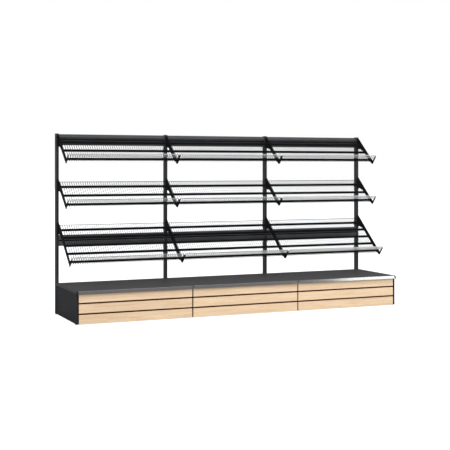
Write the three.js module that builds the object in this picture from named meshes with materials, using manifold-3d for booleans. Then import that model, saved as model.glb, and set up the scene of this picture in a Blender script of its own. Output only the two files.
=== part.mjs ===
// Produce display rack: three bays of wire shelves on slotted uprights, over a timber-fronted plinth.
// Millimetres, +Z up. X runs along the row of bays, and the front of the rack faces -Y.
// The pieces are laid out from the middle of the first upright, on its front face, at floor level.
// The last lines move the whole rack so that its origin is at the bottom centre of its box.

import * as THREE from 'three';
import { mergeGeometries, mergeVertices } from 'three/addons/utils/BufferGeometryUtils.js';
import Module from 'manifold-3d';

const wasm = await Module();
wasm.setup();

// Driving dimensions of the row
const bayCount = 3;
const bayWidth = 1250;
const floorGap = 6;
const seatGap = 0.3;
const cutOverrun = 2;
const joinBite = 1;

// Uprights
const uprightWidth = 30;
const uprightDepth = 60;
const uprightTop = 1958;
const uprightWall = 2;
const uprightPlugHeight = 40;
const uprightCap = 4;
const slotWidth = 6;
const slotHeight = 26;
const slotPitch = 48;
const topSlotDrop = 39;
const lowestSlotClearance = 60;
const legThickness = 16;
const footBossWidth = 24;
const footBossHeight = 36;

// Plinth
const deckTop = 342;
const deckDepth = 813.7;
const deckSheet = 1.5;
const deckFlange = 25;
const deckJointGap = 1;
const plankThickness = 18;
const plankHeight = 96;
const plankGap = 12;
const planksPerBay = 3;
const plankJointGap = 12;
const battenWidth = 45;
const battenThickness = 15;
const battensPerBay = 3;
const kickSheet = 1.5;
const kickFlange = 20;

// Price rail along the front edge of the plinth
const railSheet = 2;
const railHeight = 44;
const railBackHeight = 24;
const railTopDepth = 7;
const railLean = 16;
const railLipDepth = 6;
const railLipRise = 2;
const railEndCap = 12;
const railJointGap = 8;

// Levelling feet
const footRadius = 14;
const footRimHeight = 3;
const footNeckRadius = 9;
const footStemRadius = 4;
const footStemHeight = 34;
const footBorePlay = 0.6;
const footSides = 6;
const rearFootSetback = 40;
const frontFootSetback = 760;

// Header beams between the uprights
const headerHeight = 120;
const headerBand = 45;
const headerDepth = 34;
const headerLean = 20;
const headerStep = 8;
const headerStepFall = 5;
const headerSheet = 2;
const headerTopDrop = 7;
const midHeaderBottom = 738.5;

// Shelf brackets, in a side view whose slope line starts at the front face of the upright
const slopeAngle = THREE.MathUtils.degToRad(40.2);
const cheekPlate = 4;
const tonguePlate = 5;
const tongueReach = 30;
const bracketTopClip = 14;
const bracketBack = 145;
const armDepth = 40;
const armTipDepth = 38;
const gussetLevelRun = 62;
const gussetBlendRun = 190;
const gussetSteps = 3;
const noseWidth = 12;
const noseRise = 94;
const noseSteps = 2;
const tipRadius = 15;
const tipSteps = 2;
const hookNeck = 14;
const hookThickness = 4;
const hookDrop = 6;
const tipSpacerRise = 20;
const ledgeWidth = 8;
const ledgeThickness = 4;
const ledgeRearRun = 26;
const ledgeStopRise = 14;

// Wire shelves, measured along the slope from the same line
const netRear = 75;
const netSideMargin = 12.5;
const wirePitch = 25;
const wireWidth = 3.2;
const wireThickness = 3;
const rearWireSize = 4.5;
const endWireSize = 6;
const lipWireSize = 5;
const lipRise = 102;
const tubeRadius = 12.5;
const tubeSides = 8;
const tubeEndPlay = 2;
const tubeSetback = 60;

// The two shelf depths, and how each bracket hangs in the slots
const shallowShelf = { depth: 400, tubes: 3, hookFall: 53 };
const deepShelf = { depth: 600, tubes: 5, hookFall: 69 };
const tierSpacingShare = 0.3125;
const tiers = [
  { name: 'top', shelf: shallowShelf },
  { name: 'middle', shelf: shallowShelf },
  { name: 'bottom', shelf: deepShelf },
];

// Clear ticket strips on the shelf lips
const stripHeight = 40;
const stripSheet = 1.5;
const stripEndPlay = 3;
const stripHookDrop = 7;

// Colours and finishes
const blackPaint = { color: '#26282a', roughness: 0.5, metalness: 0.3 };
const greyPaint = { color: '#303234', roughness: 0.5, metalness: 0.3 };
const headerPaint = { color: '#2e3032', roughness: 0.45, metalness: 0.3 };
const deckPaint = { color: '#484848', roughness: 0.6, metalness: 0.2 };
const kickPaint = { color: '#3c2416', roughness: 0.7, metalness: 0.1 };
const oak = { color: '#efd2a8', roughness: 0.6, metalness: 0 };
const railPlastic = { color: '#c8cacb', roughness: 0.15, metalness: 0 };
const clearPlastic = { color: '#eef1f2', roughness: 0.1, metalness: 0, transparent: true, opacity: 0.35 };
const blackRubber = { color: '#1c1c1c', roughness: 0.8, metalness: 0 };

const rackWidth = bayCount * bayWidth;
const slopeRun = Math.cos(slopeAngle);
const slopeFall = Math.sin(slopeAngle);
const rack = new THREE.Group();

// Booleans

function toSolid(geometry) {
  const bare = geometry.clone();
  bare.deleteAttribute('normal');
  bare.deleteAttribute('uv');
  const merged = mergeVertices(bare);
  const vertProperties = Float32Array.from(merged.attributes.position.array);
  const triVerts = Uint32Array.from(merged.index.array);
  return new wasm.Manifold(new wasm.Mesh({ numProp: 3, vertProperties, triVerts }));
}

function toGeometry(solid) {
  const mesh = solid.getMesh();
  const geometry = new THREE.BufferGeometry();
  geometry.setAttribute('position', new THREE.BufferAttribute(Float32Array.from(mesh.vertProperties), 3));
  geometry.setIndex(Array.from(mesh.triVerts));
  return geometry;
}

function positionsOnly(geometry) {
  const bare = geometry.index ? geometry.toNonIndexed() : geometry.clone();
  bare.deleteAttribute('normal');
  bare.deleteAttribute('uv');
  return bare;
}

// Several closed forms that don't touch, as one geometry
function gather(geometries) {
  return mergeVertices(mergeGeometries(geometries.map(positionsOnly)));
}

function joined(geometries) {
  return geometries.map(toSolid).reduce((whole, piece) => whole.add(piece));
}

// Basic forms

function box(low, high) {
  const size = new THREE.Vector3().subVectors(high, low);
  const geometry = new THREE.BoxGeometry(size.x, size.y, size.z);
  return geometry.translate(low.x + size.x / 2, low.y + size.y / 2, low.z + size.z / 2);
}

function point(x, y, z) {
  return new THREE.Vector3(x, y, z);
}

// A side view, drawn as depth and height, drawn out along X from startX to endX
function sideExtrusion(shape, startX, endX) {
  const geometry = new THREE.ExtrudeGeometry(shape, { depth: endX - startX, bevelEnabled: false, curveSegments: 6 });
  const basis = new THREE.Matrix4().makeBasis(point(0, 1, 0), point(0, 0, 1), point(1, 0, 0));
  return geometry.applyMatrix4(basis).translate(startX, 0, 0);
}

function closedShape(points) {
  return new THREE.Shape(points.map(([u, v]) => new THREE.Vector2(u, v)));
}

// The outline of a folded sheet: the given fold line, and the same line offset by the sheet's thickness
function foldedSheet(foldLine, thickness) {
  const corners = foldLine.map(([u, v]) => new THREE.Vector2(u, v));
  const inner = corners.map((corner, i) => {
    const into = i > 0 ? corner.clone().sub(corners[i - 1]).normalize() : null;
    const out = i < corners.length - 1 ? corners[i + 1].clone().sub(corner).normalize() : null;
    const first = into ?? out;
    const second = out ?? into;
    const sum = new THREE.Vector2(-first.y - second.y, first.x + second.x).normalize();
    const stretch = 1 / (sum.x * -first.y + sum.y * first.x);
    return corner.clone().addScaledVector(sum, thickness * stretch);
  });
  return new THREE.Shape([...corners, ...inner.reverse()]);
}

// A bar of small section swept along a bent line in the side view, with mitred bends
function sweptBar(path, section) {
  const rings = path.map((here, i) => {
    const into = i > 0 ? here.clone().sub(path[i - 1]).normalize() : null;
    const out = i < path.length - 1 ? path[i + 1].clone().sub(here).normalize() : null;
    const first = into ?? out;
    const second = out ?? into;
    const side = new THREE.Vector2(-first.y - second.y, first.x + second.x).normalize();
    const stretch = 1 / (side.x * -first.y + side.y * first.x);
    return section.map(([across, rise]) => {
      const place = here.clone().addScaledVector(side, rise * stretch);
      return [across, place.x, place.y];
    });
  });
  const sides = section.length;
  const index = [];
  for (let ring = 0; ring < rings.length - 1; ring += 1) {
    for (let i = 0; i < sides; i += 1) {
      const a = ring * sides + i;
      const b = ring * sides + (i + 1) % sides;
      index.push(a, a + sides, b, b, a + sides, b + sides);
    }
  }
  const last = (rings.length - 1) * sides;
  for (let i = 1; i < sides - 1; i += 1) {
    index.push(0, i, i + 1);
    index.push(last, last + i + 1, last + i);
  }
  const geometry = new THREE.BufferGeometry();
  geometry.setAttribute('position', new THREE.Float32BufferAttribute(rings.flat(2), 3));
  geometry.setIndex(index);
  return geometry;
}

// A round bar along X, with an edge uppermost so that few sides still give its full height
function roundBar(radius, sides, startX, endX, y, z) {
  const geometry = new THREE.CylinderGeometry(radius, radius, endX - startX, sides);
  return geometry.rotateZ(Math.PI / 2).translate((startX + endX) / 2, y, z);
}

function roundBore(radius, low, high, x, y) {
  const geometry = new THREE.CylinderGeometry(radius, radius, high - low, footSides);
  return geometry.rotateX(Math.PI / 2).translate(x, y, (low + high) / 2);
}

function addPiece(parent, name, geometry, finish) {
  const mesh = new THREE.Mesh(geometry, new THREE.MeshStandardMaterial(finish));
  mesh.name = name;
  parent.add(mesh);
  return mesh;
}

const uprightPlaces = Array.from({ length: bayCount + 1 }, (_, i) => i * bayWidth);
const bays = Array.from({ length: bayCount }, (_, i) => ({ number: i + 1, start: i * bayWidth }));

// Uprights: hollow posts with a closed top, a row of slots down the front and a base leg welded to the foot

const topSlot = uprightTop - topSlotDrop;
const slotRoom = topSlot - deckTop - lowestSlotClearance;
const slotCount = Math.floor(slotRoom / slotPitch) + 1;
const tierSlotStep = Math.round(tierSpacingShare * slotCount);
const deckFront = -seatGap - deckDepth;
const deckUnderside = deckTop - deckSheet;
const flangeRoom = deckSheet + 2 * seatGap;
const plinthFront = deckFront + deckSheet + seatGap;
const plankBack = plinthFront + plankThickness;

function isEnd(i) {
  return i === 0 || i === bayCount;
}

function slotCutters() {
  const cutters = [];
  for (let i = 0; i < slotCount; i += 1) {
    const middle = topSlot - i * slotPitch;
    cutters.push(box(
      point(-slotWidth / 2, -cutOverrun, middle - slotHeight / 2),
      point(slotWidth / 2, uprightWall + cutOverrun, middle + slotHeight / 2),
    ));
  }
  return toSolid(gather(cutters));
}

function postSolid() {
  const half = uprightWidth / 2;
  const tube = toSolid(box(point(-half, 0, floorGap), point(half, uprightDepth, uprightTop)));
  const hollow = toSolid(box(
    point(-half + uprightWall, uprightWall, floorGap + uprightPlugHeight),
    point(half - uprightWall, uprightDepth - uprightWall, uprightTop - uprightCap),
  ));
  return tube.subtract(hollow).subtract(slotCutters());
}

// The leg is a box open underneath, with a boss inside for the screw of the front foot.
// Its rear corner is cut away where the rear flange of a deck comes down.
function legSolid(front, top) {
  const half = legThickness / 2;
  const inside = half - uprightWall;
  const shell = toSolid(box(point(-half, front, floorGap), point(half, joinBite, top)));
  const hollow = toSolid(box(
    point(-inside, front + uprightWall, floorGap - cutOverrun),
    point(inside, -flangeRoom - uprightWall, top - uprightWall),
  ));
  const notch = toSolid(box(
    point(-half - cutOverrun, -flangeRoom, deckTop - deckFlange - seatGap),
    point(half + cutOverrun, 0, deckTop),
  ));
  const boss = toSolid(box(
    point(-half, -frontFootSetback - footBossWidth / 2, floorGap),
    point(half, -frontFootSetback + footBossWidth / 2, floorGap + footBossHeight),
  ));
  return shell.subtract(hollow).subtract(notch).add(boss);
}

function footBore(y, height) {
  return toSolid(roundBore(footStemRadius + footBorePlay, floorGap - cutOverrun, floorGap + height + cutOverrun, 0, y));
}

function addUprights() {
  uprightPlaces.forEach((x, i) => {
    const legFront = isEnd(i) ? plinthFront : plankBack + seatGap;
    const legTop = isEnd(i) ? deckUnderside - seatGap : deckTop - deckFlange - seatGap;
    const upright = postSolid()
      .add(legSolid(legFront, legTop))
      .subtract(footBore(rearFootSetback, uprightPlugHeight))
      .subtract(footBore(-frontFootSetback, footBossHeight));
    addPiece(rack, `upright_${i + 1}`, toGeometry(upright), greyPaint).position.x = x;
  });
}

// Plinth: a deck tray over each bay, with timber fronts and dark kick panels between the legs

// Each deck is a shallow tray turned upside down; the end trays run out to the faces of the end uprights
function deckEnds(bay) {
  const first = bay.number === 1;
  const last = bay.number === bayCount;
  return {
    left: first ? -uprightWidth / 2 : bay.start + deckJointGap / 2,
    right: last ? rackWidth + uprightWidth / 2 : bay.start + bayWidth - deckJointGap / 2,
  };
}

function addDecks() {
  bays.forEach((bay) => {
    const { left, right } = deckEnds(bay);
    const tray = toSolid(box(point(left, deckFront, deckTop - deckFlange), point(right, -seatGap, deckTop)));
    const inside = toSolid(box(
      point(left + deckSheet, deckFront + deckSheet, deckTop - deckFlange - cutOverrun),
      point(right - deckSheet, -seatGap - deckSheet, deckUnderside),
    ));
    addPiece(rack, `deck_${bay.number}`, toGeometry(tray.subtract(inside)), deckPaint);
  });
}

function plankEnds(bay) {
  const beside = legThickness / 2 + seatGap;
  return {
    left: bay.number === 1 ? beside : bay.start + plankJointGap / 2,
    right: bay.number === bayCount ? rackWidth - beside : bay.start + bayWidth - plankJointGap / 2,
  };
}

function addWoodFronts() {
  const timberTop = floorGap + planksPerBay * plankHeight + (planksPerBay - 1) * plankGap;
  bays.forEach((bay) => {
    const { left, right } = plankEnds(bay);
    const pieces = [];
    for (let i = 0; i < planksPerBay; i += 1) {
      const bottom = floorGap + i * (plankHeight + plankGap);
      pieces.push(box(point(left, plinthFront, bottom), point(right, plankBack, bottom + plankHeight)));
    }
    const firstBatten = bay.start + legThickness / 2 + seatGap;
    const battenRun = bayWidth - legThickness - 2 * seatGap - battenWidth;
    for (let i = 0; i < battensPerBay; i += 1) {
      const start = firstBatten + (i / (battensPerBay - 1)) * battenRun;
      pieces.push(box(
        point(start, plankBack - joinBite, floorGap),
        point(start + battenWidth, plankBack + battenThickness, timberTop),
      ));
    }
    addPiece(rack, `wood_front_${bay.number}`, toGeometry(joined(pieces)), oak);
  });
}

// The kick panel closes the plinth behind the battens, with a flange turned back along its top and bottom
function addKickPanels() {
  const face = plankBack + battenThickness + seatGap;
  const top = deckUnderside - seatGap;
  const foldLine = [
    [face + kickFlange, floorGap],
    [face, floorGap],
    [face, top],
    [face + kickFlange, top],
  ];
  const beside = legThickness / 2 + seatGap;
  const panel = gather([sideExtrusion(foldedSheet(foldLine, -kickSheet), beside, bayWidth - beside)]);
  bays.forEach((bay) => {
    addPiece(rack, `kick_panel_${bay.number}`, panel, kickPaint).position.x = bay.start;
  });
}

// Price rail: a folded strip on the front flange of the deck, with a cap at each end of the row

const railBack = deckFront - seatGap;
const railBottom = deckTop - railHeight;

function railFoldLine() {
  return [
    [railBack, deckTop - railBackHeight],
    [railBack, deckTop],
    [railBack - railTopDepth, deckTop],
    [railBack - railTopDepth - railLean, railBottom],
    [railBack - railTopDepth - railLean + railLipDepth, railBottom + railLipRise],
  ];
}

function railCapShape() {
  const [, topBack, topFront, bottomFront] = railFoldLine();
  return closedShape([topBack, topFront, bottomFront, [railBack, railBottom]].reverse());
}

function addPriceRails() {
  bays.forEach((bay) => {
    const ends = deckEnds(bay);
    const left = bay.number === 1 ? ends.left : bay.start + railJointGap / 2;
    const right = bay.number === bayCount ? ends.right : bay.start + bayWidth - railJointGap / 2;
    const pieces = [sideExtrusion(foldedSheet(railFoldLine(), railSheet), left, right)];
    if (bay.number === 1) pieces.push(sideExtrusion(railCapShape(), left, left + railEndCap));
    if (bay.number === bayCount) pieces.push(sideExtrusion(railCapShape(), right - railEndCap, right));
    addPiece(rack, `price_rail_${bay.number}`, toGeometry(joined(pieces)), railPlastic);
  });
}

// Levelling feet: a broad glide on a screwed stem that runs up into the post or the leg

function footGeometry() {
  const glideTop = floorGap - seatGap;
  const profile = [
    [0, 0],
    [footRadius, 0],
    [footRadius, footRimHeight],
    [footNeckRadius, glideTop],
    [footStemRadius, glideTop],
    [footStemRadius, footStemHeight],
    [0, footStemHeight],
  ];
  const turned = new THREE.LatheGeometry(profile.map(([r, h]) => new THREE.Vector2(r, h)), footSides);
  return gather([turned.rotateX(Math.PI / 2)]);
}

function addFeet() {
  const geometry = footGeometry();
  uprightPlaces.forEach((x, i) => {
    addPiece(rack, `levelling_foot_rear_${i + 1}`, geometry, blackRubber).position.set(x, rearFootSetback, 0);
    addPiece(rack, `levelling_foot_front_${i + 1}`, geometry, blackRubber).position.set(x, -frontFootSetback, 0);
  });
}

// Header beams: one folded section, with its leaning band up at the top and turned over behind the low shelf

function headerFoldLine(bottom, isTurnedOver) {
  const top = bottom + headerHeight;
  const stepTop = top - headerBand;
  const line = [
    [headerDepth, bottom],
    [headerStep, bottom],
    [headerStep, stepTop - headerStepFall],
    [0, stepTop],
    [headerLean, top],
    [headerDepth, top],
  ];
  return isTurnedOver ? line.map(([y, z]) => [y, bottom + top - z]).reverse() : line;
}

function addHeaders() {
  const topBottom = uprightTop - headerTopDrop - headerHeight;
  const side = uprightWidth / 2 + seatGap;
  bays.forEach((bay) => {
    const left = bay.start + side;
    const right = bay.start + bayWidth - side;
    const top = sideExtrusion(foldedSheet(headerFoldLine(topBottom, false), -headerSheet), left, right);
    const mid = sideExtrusion(foldedSheet(headerFoldLine(midHeaderBottom, true), -headerSheet), left, right);
    addPiece(rack, `top_header_${bay.number}`, gather([top]), headerPaint);
    addPiece(rack, `mid_header_${bay.number}`, gather([mid]), headerPaint);
  });
}

// A place in the side view: along is measured down the slope, rise square to it
function onSlope(along, rise) {
  return new THREE.Vector2(-along * slopeRun - rise * slopeFall, -along * slopeFall + rise * slopeRun);
}

function tubePlaces(shelf) {
  const first = netRear + tubeSetback;
  const last = netRear + shelf.depth - tubeSetback;
  return Array.from({ length: shelf.tubes }, (_, i) => first + (i / (shelf.tubes - 1)) * (last - first));
}

const tubeRise = -tubeRadius - wireThickness / 4;
const ledgeTop = tubeRise - tubeRadius - seatGap;
const tongueFace = tonguePlate / 2;
const cheekFace = tongueFace + cheekPlate;

function noseEdges(shelf) {
  const outer = netRear + shelf.depth + wireThickness / 2 + noseWidth / 2;
  return [outer - noseWidth, outer];
}

// Cheek of a bracket: a sloping arm with a gusset at the upright, a rounded tip and a thin upturned nose
function cheekShape(shelf) {
  const [noseInner, noseOuter] = noseEdges(shelf);
  const back = -seatGap;
  const points = [];
  points.push(new THREE.Vector2(back, -bracketBack));
  points.push(new THREE.Vector2(-gussetLevelRun, -bracketBack));
  const armUnder = (run) => -run * slopeFall / slopeRun - armDepth / slopeRun;
  const cornerRun = (bracketBack - armDepth / slopeRun) * slopeRun / slopeFall;
  const blend = new THREE.QuadraticBezierCurve(
    new THREE.Vector2(-gussetLevelRun, -bracketBack),
    new THREE.Vector2(-cornerRun, -bracketBack),
    new THREE.Vector2(-gussetBlendRun, armUnder(gussetBlendRun)),
  );
  points.push(...blend.getPoints(gussetSteps).slice(1));
  const tipCentreAlong = noseOuter - tipRadius;
  for (let i = 0; i <= tipSteps; i += 1) {
    const turn = (i / tipSteps) * (Math.PI / 2);
    const along = tipCentreAlong + tipRadius * Math.sin(turn);
    const rise = -armTipDepth + tipRadius - tipRadius * Math.cos(turn);
    points.push(onSlope(along, rise));
  }
  for (let i = 0; i <= noseSteps; i += 1) {
    const turn = (i / noseSteps) * Math.PI;
    const along = noseOuter - noseWidth / 2 + (noseWidth / 2) * Math.cos(turn);
    const rise = noseRise - noseWidth / 2 + (noseWidth / 2) * Math.sin(turn);
    points.push(onSlope(along, rise));
  }
  points.push(onSlope(noseInner, 0));
  points.push(new THREE.Vector2(-bracketTopClip * slopeRun / slopeFall, -bracketTopClip));
  points.push(new THREE.Vector2(back, -bracketTopClip));
  return new THREE.Shape(points);
}

// Tongue between the cheeks, which carries the hooks
function tongueShape() {
  return closedShape([
    [-seatGap, -bracketTopClip],
    [-bracketTopClip * slopeRun / slopeFall, -bracketTopClip],
    [-tongueReach, -tongueReach * slopeFall / slopeRun],
    [-tongueReach, -bracketBack],
    [-seatGap, -bracketBack],
  ]);
}

// Spacer that joins the tips of two cheeks
function tipSpacerShape(shelf) {
  const [inner, outer] = noseEdges(shelf);
  return new THREE.Shape([
    onSlope(inner, -tipSpacerRise),
    onSlope(outer, -tipSpacerRise),
    onSlope(outer, 0),
    onSlope(inner, 0),
  ]);
}

// Hooks that pass through the slots and drop behind the wall of the upright
function hookOutline(bottom) {
  const neckBottom = bottom + seatGap;
  const behindWall = uprightWall + seatGap;
  return closedShape([
    [-seatGap - hookThickness, neckBottom],
    [behindWall, neckBottom],
    [behindWall, neckBottom - hookDrop],
    [behindWall + hookThickness, neckBottom - hookDrop],
    [behindWall + hookThickness, neckBottom + hookNeck],
    [-seatGap - hookThickness, neckBottom + hookNeck],
  ]);
}

// Ledge that the shelf tubes lie on, with a stop in front of the last tube
function ledgeShape(shelf) {
  const tubes = tubePlaces(shelf);
  const rear = tubes[0] - ledgeRearRun;
  const stop = tubes[tubes.length - 1] + tubeRadius + seatGap;
  const corners = [
    [rear, ledgeTop],
    [rear, ledgeTop - ledgeThickness],
    [stop + ledgeThickness, ledgeTop - ledgeThickness],
    [stop + ledgeThickness, ledgeTop + ledgeStopRise],
    [stop, ledgeTop + ledgeStopRise],
    [stop, ledgeTop],
  ];
  return new THREE.Shape(corners.map(([along, rise]) => onSlope(along, rise)));
}

// A side view drawn out between two distances from the middle of the upright, on its left (-1) or right (1)
function onSide(side, shape, near, far) {
  return side > 0 ? sideExtrusion(shape, near, far) : sideExtrusion(shape, -far, -near);
}

// An end bracket has one cheek, and a bracket between two bays has one for each of them
function bracketGeometry(shelf, sides) {
  const pieces = [sideExtrusion(tongueShape(), -tongueFace, tongueFace)];
  for (let i = 0; i < 2; i += 1) {
    const hook = hookOutline(-shelf.hookFall - i * slotPitch);
    pieces.push(sideExtrusion(hook, -tongueFace, tongueFace));
  }
  sides.forEach((side) => {
    pieces.push(onSide(side, cheekShape(shelf), tongueFace - joinBite, cheekFace));
    pieces.push(onSide(side, ledgeShape(shelf), cheekFace - joinBite, cheekFace + ledgeWidth));
  });
  if (sides.length > 1) pieces.push(sideExtrusion(tipSpacerShape(shelf), -tongueFace, tongueFace));
  return toGeometry(joined(pieces));
}

// The slope line of a tier starts above the bottom of the slot that its upper hook sits in
function tierLine(tierIndex) {
  const slot = topSlot - tierIndex * tierSlotStep * slotPitch;
  return slot - slotHeight / 2 + tiers[tierIndex].shelf.hookFall;
}

function addBrackets() {
  tiers.forEach(({ name, shelf }, tierIndex) => {
    uprightPlaces.forEach((x, i) => {
      const sides = [-1, 1].filter((side) => (side < 0 ? i > 0 : i < bayCount));
      const geometry = bracketGeometry(shelf, sides);
      const mesh = addPiece(rack, `bracket_${name}_${i + 1}`, geometry, blackPaint);
      mesh.position.set(x, 0, tierLine(tierIndex));
    });
  });
}

// Wire shelves: bent wires welded into a rear wire, between two heavier end wires that hold the lip wire
// and the round tubes underneath. The shelf is drawn level, and its group is turned to the slope.

const wireSpan = bayWidth - 2 * netSideMargin;
const wireSpaces = Math.round(wireSpan / wirePitch);
const wireRise = wireThickness / 4 + seatGap;
const netTop = wireRise + wireThickness / 2;

function bentWire(x, shelf) {
  const front = -netRear - shelf.depth;
  const path = [
    new THREE.Vector2(-netRear, wireRise),
    new THREE.Vector2(front, wireRise),
    new THREE.Vector2(front, wireRise + lipRise),
  ];
  const half = wireThickness / 2;
  const section = [
    [x - wireWidth / 2, -half],
    [x + wireWidth / 2, -half],
    [x, half],
  ];
  return sweptBar(path, section);
}

function endWire(x, shelf) {
  const half = endWireSize / 2;
  const front = -netRear - shelf.depth - wireThickness / 2;
  const level = box(point(x - half, front, netTop - endWireSize), point(x + half, -netRear, netTop));
  const upright = box(
    point(x - half, front, netTop - endWireSize / 2),
    point(x + half, front + endWireSize, wireRise + lipRise),
  );
  return toSolid(level).add(toSolid(upright));
}

function shelfGeometry(shelf) {
  const left = netSideMargin;
  const right = bayWidth - netSideMargin;
  const overhang = endWireSize / 2;
  const wires = [];
  for (let i = 1; i < wireSpaces; i += 1) {
    wires.push(bentWire(left + (i / wireSpaces) * wireSpan, shelf));
  }
  const rearWire = box(
    point(left - overhang, -netRear - rearWireSize / 4, wireRise - rearWireSize / 2),
    point(right + overhang, -netRear + rearWireSize * 3 / 4, wireRise + rearWireSize / 2),
  );
  const lipBehind = -netRear - shelf.depth + wireThickness / 2 + seatGap;
  const lipWire = box(
    point(left - overhang, lipBehind, wireRise + lipRise - lipWireSize),
    point(right + overhang, lipBehind + lipWireSize, wireRise + lipRise),
  );
  const start = cheekFace + tubeEndPlay;
  const tubes = tubePlaces(shelf).map((along) => (
    roundBar(tubeRadius, tubeSides, start, bayWidth - start, -along, tubeRise)
  ));
  const frame = toSolid(gather([rearWire, lipWire, ...tubes])).add(endWire(left, shelf)).add(endWire(right, shelf));
  return toGeometry(toSolid(gather(wires)).add(frame));
}

// Ticket strip: a clear strip that hangs over the lip wire, in front of the lip
function stripGeometry(shelf) {
  const front = -netRear - shelf.depth - wireThickness / 2 - seatGap;
  const top = wireRise + lipRise + seatGap + stripSheet;
  const back = -netRear - shelf.depth + wireThickness / 2 + 2 * seatGap + lipWireSize + stripSheet;
  const line = [
    [front - stripSheet, top - stripHeight],
    [front - stripSheet, top],
    [back, top],
    [back, top - stripHookDrop],
  ];
  const start = cheekFace + stripEndPlay;
  return gather([sideExtrusion(foldedSheet(line, -stripSheet), start, bayWidth - start)]);
}

function addShelves() {
  const forms = new Map([shallowShelf, deepShelf].map((shelf) => [
    shelf,
    { net: shelfGeometry(shelf), strip: stripGeometry(shelf) },
  ]));
  tiers.forEach(({ name, shelf }, tierIndex) => {
    const { net, strip } = forms.get(shelf);
    const sloped = new THREE.Group();
    sloped.position.set(0, 0, tierLine(tierIndex));
    sloped.rotation.x = slopeAngle;
    rack.add(sloped);
    bays.forEach((bay) => {
      addPiece(sloped, `wire_shelf_${name}_${bay.number}`, net, blackPaint).position.x = bay.start;
      addPiece(sloped, `ticket_strip_${name}_${bay.number}`, strip, clearPlastic).position.x = bay.start;
    });
  });
}

addUprights();
addDecks();
addWoodFronts();
addKickPanels();
addPriceRails();
addFeet();
addHeaders();
addBrackets();
addShelves();

// The origin goes to the bottom centre of the whole rack
const rearMost = Math.max(uprightDepth, rearFootSetback + footRadius);
const frontMost = railBack - railTopDepth - railLean;
rack.position.set(-rackWidth / 2, -(rearMost + frontMost) / 2, 0);

export default rack;
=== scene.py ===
"""Looks of the produce display rack: three bays of sloping wire shelves over a timber-fronted plinth.

Lengths are in metres. X runs along the row, the front faces -Y and +Z is up. Pieces are laid out from
the middle of the first post, on its front face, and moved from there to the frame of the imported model.
"""
import math

import bmesh
import bpy
from mathutils import Matrix, Vector


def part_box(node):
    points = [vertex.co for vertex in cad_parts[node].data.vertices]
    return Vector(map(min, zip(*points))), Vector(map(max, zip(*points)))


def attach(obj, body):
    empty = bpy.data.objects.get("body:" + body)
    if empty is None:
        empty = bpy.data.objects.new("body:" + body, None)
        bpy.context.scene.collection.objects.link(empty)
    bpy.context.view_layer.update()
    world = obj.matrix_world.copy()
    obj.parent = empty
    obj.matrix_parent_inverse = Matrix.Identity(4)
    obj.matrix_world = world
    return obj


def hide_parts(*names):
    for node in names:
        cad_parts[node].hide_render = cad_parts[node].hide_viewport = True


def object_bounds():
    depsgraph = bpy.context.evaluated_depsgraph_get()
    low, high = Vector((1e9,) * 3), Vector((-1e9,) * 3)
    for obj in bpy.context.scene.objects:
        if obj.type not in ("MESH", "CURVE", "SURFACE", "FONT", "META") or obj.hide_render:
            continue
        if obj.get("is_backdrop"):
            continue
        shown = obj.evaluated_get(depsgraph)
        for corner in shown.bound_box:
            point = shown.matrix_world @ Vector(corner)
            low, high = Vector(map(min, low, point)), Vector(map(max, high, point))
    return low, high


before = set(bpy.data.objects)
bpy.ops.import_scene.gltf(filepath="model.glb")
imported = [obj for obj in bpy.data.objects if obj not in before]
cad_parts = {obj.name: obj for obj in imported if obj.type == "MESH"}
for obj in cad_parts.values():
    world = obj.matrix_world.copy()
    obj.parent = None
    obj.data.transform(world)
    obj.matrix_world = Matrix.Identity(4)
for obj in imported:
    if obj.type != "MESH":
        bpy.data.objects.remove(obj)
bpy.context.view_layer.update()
scene = bpy.context.scene

# Sizes that the pieces share with the model

BAYS = 3
BAY = 1.25
ROW = BAYS * BAY
BAY_NUMBERS = range(1, BAYS + 1)
POSTS = {number: (number - 1) * BAY for number in range(1, BAYS + 2)}
FRONT_FACE = 0.38865
TO_ROW = Matrix.Translation((-ROW / 2, FRONT_FACE, 0))
SEAT = 0.0003
FLOOR_GAP = 0.006
DECK_TOP = 0.342
DECK_FRONT = -0.814
PLANK_PITCH = 0.108
SLOPE = math.radians(40.2)

# The line of a tier is the level at which the plane of its net meets the front face of the posts
TIERS = {
    "top": {"line": 1.959, "depth": 0.400, "tubes": 3, "hook_fall": 0.053},
    "middle": {"line": 1.479, "depth": 0.400, "tubes": 3, "hook_fall": 0.053},
    "bottom": {"line": 1.015, "depth": 0.600, "tubes": 5, "hook_fall": 0.069},
}

# Small tools for building

SHARP_ANGLE = 35
BEVEL_ANGLE = 30
BEND_STEPS = 4
MERGE_DISTANCE = 0.00001


def finished(name, bm, material, place=(0, 0, 0), body="rack", sharp=SHARP_ANGLE):
    """Makes a piece from what bm holds, moved to its place in the row.

    It is shaded smooth, apart from edges with a turn of more than sharp, in degrees.
    """
    bmesh.ops.translate(bm, vec=place, verts=bm.verts)
    bmesh.ops.transform(bm, matrix=TO_ROW, verts=bm.verts)
    mesh = bpy.data.meshes.new(name)
    bm.to_mesh(mesh)
    bm.free()
    mesh.shade_smooth()
    mesh.set_sharp_from_angle(angle=math.radians(sharp))
    mesh.materials.append(material)
    piece = bpy.data.objects.new(name, mesh)
    scene.collection.objects.link(piece)
    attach(piece, body)
    return piece


def wall(piece, thickness):
    """Gives a sheet its thickness, behind its outer face."""
    sheet = piece.modifiers.new("wall", "SOLIDIFY")
    sheet.thickness = thickness
    sheet.offset = -1
    sheet.use_even_offset = True


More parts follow.
